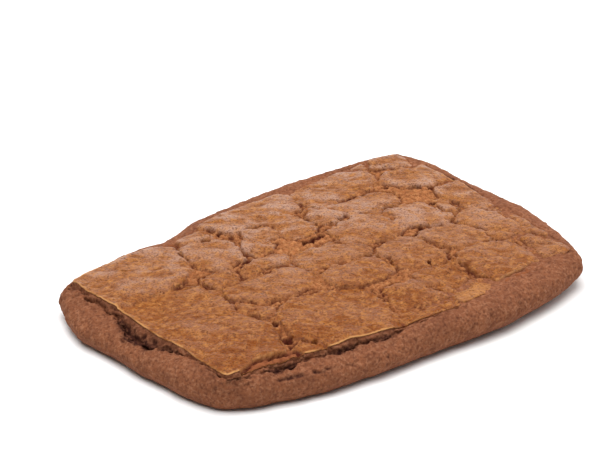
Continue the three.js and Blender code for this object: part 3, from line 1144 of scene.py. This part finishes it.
    def build(self) -> bpy.types.Object:
        """Makes the face as a closed shell that is rooted in the slab."""
        patch = cut_patch(self.step, PLAN.inside)
        height, marks = self.relief(*patch.xy.T)
        top = np.column_stack([patch.xy, height])
        rim = np.unique(patch.border)
        place = np.zeros(len(top), int)
        place[rim] = np.arange(len(rim))
        points, faces = [top], [patch.faces]
        level, above, count = patch.border, place[patch.border], len(top)
        for wall, painted_shade, skin in self.wall(top[rim], patch.inward[rim]):
            points.append(wall)
            below = above + count
            faces.append(np.stack([level[:, 1], level[:, 0], below[:, 0]], 1))
            faces.append(np.stack([level[:, 1], below[:, 0], below[:, 1]], 1))
            level, count = below, count + len(rim)
            row = {"crust": skin, "painted_shade": painted_shade, "lip_highlight": skin * marks["lip_highlight"][rim]}
            for mark in marks:
                marks[mark] = np.append(marks[mark], row.get(mark, 0) + np.zeros(len(rim)))
        points.append(np.array([[0, 0, self.foot]]))
        faces.append(np.stack([level[:, 1], level[:, 0], np.full(len(level), count)], 1))
        marks = {mark: np.append(values, 0.0) for mark, values in marks.items()}
        # The top and the lip's two rows are skin, and the rest is torn dough like the side.
        skin = sum(len(strip) for strip in faces[:5])
        return make_piece("face", np.concatenate(points), np.concatenate(faces), marks, skin)


# ---------------------------------------------------------------- finishes


def linear(code: str) -> tuple[float, float, float, float]:
    """Turns an sRGB hex colour to linear light.

    Args:
        code: such as "#a66b43".

    Returns:
        Red, green, blue and an alpha of 1.
    """
    parts = [int(code[k : k + 2], 16) / 255 for k in (1, 3, 5)]
    r, g, b = (p / 12.92 if p <= 0.04045 else ((p + 0.055) / 1.055) ** 2.4 for p in parts)
    return r, g, b, 1.0


def add_node(
    owner: Material | bpy.types.World,
    kind: str,
    settings: dict | None = None,
    inputs: dict | None = None,
) -> bpy.types.Node:
    """Adds a shader node.

    Args:
        owner: what the node is for.
        kind: the node's type.
        settings: its properties, by name.
        inputs: its sockets, by name or number, each with a number, a hex colour, or the socket
            that feeds it.

    Returns:
        The new node.
    """
    node = owner.node_tree.nodes.new(kind)
    for name, value in (settings or {}).items():
        setattr(node, name, value)
    for name, value in (inputs or {}).items():
        if isinstance(value, Socket):
            owner.node_tree.links.new(value, node.inputs[name])
        else:
            node.inputs[name].default_value = linear(value) if isinstance(value, str) else value
    return node


def new_material(name: str) -> Material:
    """Makes an empty material with nodes."""
    material = bpy.data.materials.new(name)
    material.use_nodes = True
    material.node_tree.nodes.clear()
    return material


@dataclass(frozen=True)
class Pattern:
    """An uneven pattern in the dough.

    Its features have a size in millimetres. It begins to show at one level of its noise and shows
    most at another, and it can be drawn out the way that the skin was pulled.
    """

    size: float
    detail: float
    begins: float = 0.0
    full: float = 1.0
    most: float = 1.0
    stretch: float = 1.0
    pull: float = -38.0

    def lay(self, m: Material) -> Socket:
        """Lays the pattern's noise on the dough."""
        place = add_node(m, "ShaderNodeTexCoord").outputs["Object"]
        if self.stretch != 1:
            turn = (0, 0, math.radians(self.pull))
            inputs = {"Vector": place, "Rotation": turn, "Scale": (self.stretch, 1, 1)}
            place = add_node(m, "ShaderNodeMapping", {"vector_type": "TEXTURE"}, inputs).outputs[0]
        inputs = {"Vector": place, "Scale": 1 / (self.size * MM), "Detail": self.detail}
        return add_node(m, "ShaderNodeTexNoise", inputs=inputs).outputs["Fac"]

    def share(self, m: Material, laid: Socket | None = None) -> Socket:
        """Works out how much of the pattern shows.

        Args:
            m: the material.
            laid: the pattern's noise, where it is laid already.

        Returns:
            The share of the surface that it covers at each place.
        """
        inputs = {"Value": laid or self.lay(m), "From Min": self.begins, "From Max": self.full}
        inputs["To Max"] = self.most
        return add_node(m, "ShaderNodeMapRange", inputs=inputs).outputs["Result"]


@dataclass(frozen=True)
class Dough:
    """What the finishes of baked dough share: the colours of open crumb, and their coats.

    Baked dough is matte and grainy where it is open, from sugar and flour that browned unevenly.
    """

    crumb: str = "#a8693f"
    crumb_light: str = "#bb8353"
    crumb_dark: str = "#78421f"
    # The colour of painted shade in crevices, pits, pores and tears.
    shade_colour: str = "#4a1a0a"
    # Sugar grains of half a millimetre are too fine to show, so they are drawn a little coarser.
    grains: Pattern = Pattern(0.7, 4, 0.46, 0.66)
    shades: Pattern = Pattern(4.5, 5, 0.58, 0.36, 0.35)
    pores: Pattern = Pattern(0.5, 2, 0.52, 0.3, 0.9)
    # Sugar's own index is near 1.5. Dry, dusty dough glances far less, so it is matched lower.
    ior: float = 1.22
    bump: float = 0.3

    def coat(
        self, m: Material, ground: Socket | str, coats: list[tuple[Socket | str, Socket]]
    ) -> Socket:
        """Lays coats of colour over a ground.

        Args:
            m: the material.
            ground: the colour under the coats.
            coats: the colour of each, and how much of what is under it the coat hides.

        Returns:
            The colour with all its coats.
        """
        for colour, share in coats:
            inputs = {0: share, 6: ground, 7: colour}
            ground = add_node(m, "ShaderNodeMix", {"data_type": "RGBA"}, inputs).outputs[2]
        return ground

    def crumb_colour(self, m: Material) -> Socket:
        """Colours open crumb: pale sugary grains on brown, with darker shades and dark pores."""
        coats = (
            (self.crumb_light, self.grains),
            (self.crumb_dark, self.shades),
            (self.crumb_dark, self.pores),
        )
        return self.coat(m, self.crumb, [(colour, pattern.share(m)) for colour, pattern in coats])

    def finish(
        self, m: Material, colour: Socket, roughness: Socket | float, height: Socket
    ) -> Material:
        """Joins the surface.

        Args:
            m: the material.
            colour: its colour.
            roughness: its roughness.
            height: its fine relief, as a share of the bump's size.

        Returns:
            The finished material.
        """
        inputs = {"Strength": 1.0, "Distance": self.bump * MM, "Height": height}
        normal = add_node(m, "ShaderNodeBump", inputs=inputs).outputs["Normal"]
        inputs = {"Base Color": colour, "Roughness": roughness, "IOR": self.ior, "Normal": normal}
        shader = add_node(m, "ShaderNodeBsdfPrincipled", inputs=inputs)
        add_node(m, "ShaderNodeOutputMaterial", inputs={"Surface": shader.outputs["BSDF"]})
        return m


@dataclass(frozen=True)
class BakedSide(Dough):
    """Dough that swelled and set at the side: red-brown, matte, fine-pored, painted shade where it
    tore.
    """

    crumb: str = "#885337"
    crumb_light: str = "#9a674a"
    crumb_dark: str = "#663b29"
    # The side's painted shade.
    shade_colour: str = "#361710"
    grains: Pattern = Pattern(1.0, 4, 0.46, 0.66)
    pores: Pattern = Pattern(0.7, 2, 0.52, 0.3, 0.9)
    # Grain that breaks up the painted shade.
    grains_in_shade: Pattern = Pattern(1.0, 4, 0.95, 0.42)
    roughness: float = 0.85

    def material(self) -> Material:
        """Builds the finish."""
        m = new_material("baked_dough_side")
        colour = self.crumb_colour(m)
        # Painted shade from the pieces' mark, broken up by grain.
        mark = add_node(m, "ShaderNodeAttribute", {"attribute_name": "painted_shade"}).outputs["Fac"]
        inputs = {0: mark, 1: self.grains_in_shade.share(m)}
        painted_shade = add_node(m, "ShaderNodeMath", {"operation": "MULTIPLY"}, inputs).outputs[0]
        colour = self.coat(m, colour, [(self.shade_colour, painted_shade)])
        inputs = {0: self.grains.lay(m), 1: self.pores.lay(m)}
        height = add_node(m, "ShaderNodeMath", {"operation": "ADD"}, inputs).outputs[0]
        return self.finish(m, colour, self.roughness, height)


@dataclass(frozen=True)
class BakedFace(Dough):
    """Skin that dried and cracked in the oven: satin, amber, painted highlight on its edges."""

    amber: str = "#804311"
    brown: str = "#8f562c"
    # The pale film's colour, partly a dry film and partly painted sheen.
    film_and_sheen: str = "#aa826d"
    fleck: str = "#b77a40"
    speckle: str = "#4f240c"
    golden: str = "#ae7440"
    # The colour of the painted highlight along the lip.
    lip_highlight: str = "#cb9259"
    rim: str = "#8a5030"
    flecks: Pattern = Pattern(1.54, 4, 0.45, 0.68, 0.75)
    speckles: Pattern = Pattern(0.5, 3, 0.51, 0.31, 0.9)
    worn: Pattern = Pattern(4.5, 4, 0.38, 0.55, stretch=1.6)
    creases: Pattern = Pattern(1.5, 4)
    speckle_relief: float = 0.8
    corner_amber_begins: float = 0.92
    corner_amber_most: float = 0.35
    satin: float = 0.38
    matte: float = 0.8

    def material(self) -> Material:
        """Builds the finish."""
        m = new_material("baked_sugar_crust")
        marks = {
            mark: add_node(m, "ShaderNodeAttribute", {"attribute_name": mark}).outputs["Fac"]
            for mark in ("crust", "baked", "film_and_sheen", "pale", "rim", "lip_highlight", "painted_shade")
        }
        speckles = self.speckles.lay(m)
        # The pale film with painted sheen, broken into streaks.
        inputs = {0: marks["film_and_sheen"], 1: self.worn.share(m)}
        film_and_sheen = add_node(m, "ShaderNodeMath", {"operation": "MULTIPLY"}, inputs).outputs[0]
        # Painted shade: a deeper amber darkens the near corner, where the skin catches least sheen.
        inputs = {"Value": marks["baked"], "From Min": self.corner_amber_begins}
        inputs["To Max"] = self.corner_amber_most
        corner_amber = add_node(m, "ShaderNodeMapRange", inputs=inputs).outputs["Result"]
        skin = [
            (self.amber, marks["baked"]),
            (self.film_and_sheen, film_and_sheen),
            (self.golden, marks["pale"]),
            (self.fleck, self.flecks.share(m)),
            (self.amber, corner_amber),
            (self.speckle, self.speckles.share(m, speckles)),
        ]
        # Over the crumb and skin: a painted highlight on the lip, then painted shade in the
        # hollows.
        coats = [
            (self.rim, marks["rim"]),
            (self.coat(m, self.brown, skin), marks["crust"]),
            (self.lip_highlight, marks["lip_highlight"]),
            (self.shade_colour, marks["painted_shade"]),
        ]
        colour = self.coat(m, self.crumb_colour(m), coats)
        inputs = {"Value": marks["crust"], "To Min": self.matte, "To Max": self.satin}
        rough = add_node(m, "ShaderNodeMapRange", inputs=inputs).outputs["Result"]
        inputs = {0: speckles, 1: self.speckle_relief, 2: self.creases.lay(m)}
        height = add_node(m, "ShaderNodeMath", {"operation": "MULTIPLY_ADD"}, inputs).outputs[0]
        return self.finish(m, colour, rough, height)


# ---------------------------------------------------------------- the studio


@dataclass(frozen=True)
class Softbox:
    """A rectangular light that hangs somewhere and faces the biscuit."""

    name: str
    place: tuple[float, float, float]
    width: float
    height: float
    watts: float

    def hang(self) -> None:
        """Hangs the light."""
        data = bpy.data.lights.new(self.name, "AREA")
        data.shape = "RECTANGLE"
        data.size, data.size_y = self.width * MM, self.height * MM
        data.energy = self.watts
        lamp = bpy.data.objects.new(self.name, data)
        lamp.visible_camera = False
        lamp.location = Vector(self.place) * MM
        lamp.rotation_euler = Vector(self.place).to_track_quat("Z", "Y").to_euler()
        bpy.context.scene.collection.objects.link(lamp)


@dataclass(frozen=True)
class Studio:
    """A white sweep, soft light from above, and the camera."""

    azimuth: float = -38.4
    elevation: float = 26.5
    distance: float = 700.0
    focal_px: float = 2392.5
    picture_px: tuple[float, float] = (600.0, 450.0)
    target: tuple[float, float, float] = (-0.7, 3.03, 6.44)
    target_px: tuple[float, float] = (320.0, 270.0)
    sensor_width: float = 36.0
    floor_size: float = 4000.0
    paper: str = "#fafafa"
    paper_roughness: float = 0.9
    wall_glow: float = 0.6
    wall_ends: float = 0.12
    ceiling_glow: float = 0.08
    ceiling_begins: float = 0.4
    softboxes: tuple[Softbox, ...] = (
        Softbox("overhead_softbox", (-60, 80, 1200), 1400, 1400, 28),
        Softbox("back_strip", (700, 700, 150), 1300, 200, 1.3),
        Softbox("right_softbox", (1000, -150, 450), 900, 600, 4.5),
    )

    def camera(self) -> None:
        """Places the camera where the target falls on its pixel of the picture."""
        az, el = math.radians(self.azimuth), math.radians(self.elevation)
        back = Vector((math.sin(az) * math.cos(el), -math.cos(az) * math.cos(el), math.sin(el)))
        right = Vector((math.cos(az), math.sin(az), 0))
        up = back.cross(right)
        aside = (self.target_px[0] - self.picture_px[0] / 2) / self.focal_px * self.distance
        above = (self.picture_px[1] / 2 - self.target_px[1]) / self.focal_px * self.distance
        place = Vector(self.target) - aside * right - above * up + self.distance * back
        turn = Matrix((right, up, back)).transposed().to_4x4()
        data = bpy.data.cameras.new("camera")
        data.sensor_width = self.sensor_width
        data.lens = self.sensor_width * self.focal_px / self.picture_px[0]
        camera = bpy.data.objects.new("camera", data)
        camera.matrix_world = Matrix.Translation(place * MM) @ turn
        bpy.context.scene.collection.objects.link(camera)
        bpy.context.scene.camera = camera

    def floor(self) -> None:
        """Lays the white floor."""
        half = self.floor_size / 2
        points = np.array([[-half, -half, 0], [half, -half, 0], [half, half, 0], [-half, half, 0]])
        floor = make_piece("floor", points, np.array([[0, 1, 2], [0, 2, 3]]), {})
        paper = new_material("white_paper_sweep")
        look = {"Base Color": self.paper, "Roughness": self.paper_roughness}
        shader = add_node(paper, "ShaderNodeBsdfPrincipled", inputs=look)
        add_node(paper, "ShaderNodeOutputMaterial", inputs={"Surface": shader.outputs["BSDF"]})
        floor.data.materials.append(paper)

    def room(self) -> None:
        """Surrounds the biscuit with walls that are white low down and dim higher up."""
        world = bpy.data.worlds.new("white_room")
        world.use_nodes = True
        world.node_tree.nodes.clear()
        way = add_node(world, "ShaderNodeTexCoord").outputs["Generated"]
        up = add_node(world, "ShaderNodeSeparateXYZ", inputs={0: way}).outputs["Z"]
        steps = {"Value": up, "From Min": self.wall_ends, "From Max": self.ceiling_begins}
        steps |= {"To Min": self.wall_glow, "To Max": self.ceiling_glow}
        glow = add_node(world, "ShaderNodeMapRange", inputs=steps).outputs["Result"]
        sky = add_node(world, "ShaderNodeBackground", inputs={"Strength": glow})
        add_node(world, "ShaderNodeOutputWorld", inputs={"Surface": sky.outputs[0]})
        bpy.context.scene.world = world

    def build(self) -> None:
        """Sets up the whole studio."""
        self.camera()
        self.floor()
        for softbox in self.softboxes:
            softbox.hang()
        self.room()
        bpy.context.scene.view_settings.view_transform = "Standard"


# ---------------------------------------------------------------- putting it together


@dataclass
class Biscuit:
    """The whole biscuit, dressed and set on its solid."""

    pieces: list[bpy.types.Object] = field(default_factory=list)

    def add(self, piece: bpy.types.Object, *finishes: bpy.types.Material) -> None:
        """Takes a piece in, with its finishes."""
        for finish in finishes:
            piece.data.materials.append(finish)
        self.pieces.append(piece)
        LOG.info("%s: %d triangles", piece.name, len(piece.data.polygons))

    def build(self) -> None:
        """Makes the pieces and sets them on the solid that they stand for."""
        side = BakedSide().material()
        self.add(Slab().build(), side)
        self.add(Face().build(), BakedFace().material(), side)
        low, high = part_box(NODE)
        x, y = ((a + b) / 2 - m * MM for a, b, m in zip(low.xy, high.xy, PLAN.middle))
        for piece in self.pieces:
            piece.data.transform(Matrix.Translation((x, y, low.z)))
            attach(piece, BODY)
            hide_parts(NODE)


def main() -> None:
    """Builds the biscuit and the studio round it."""
    logging.basicConfig(level=logging.INFO, format="%(name)s: %(message)s")
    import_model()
    Studio().build()
    Biscuit().build()


if __name__ == "__main__":
    main()
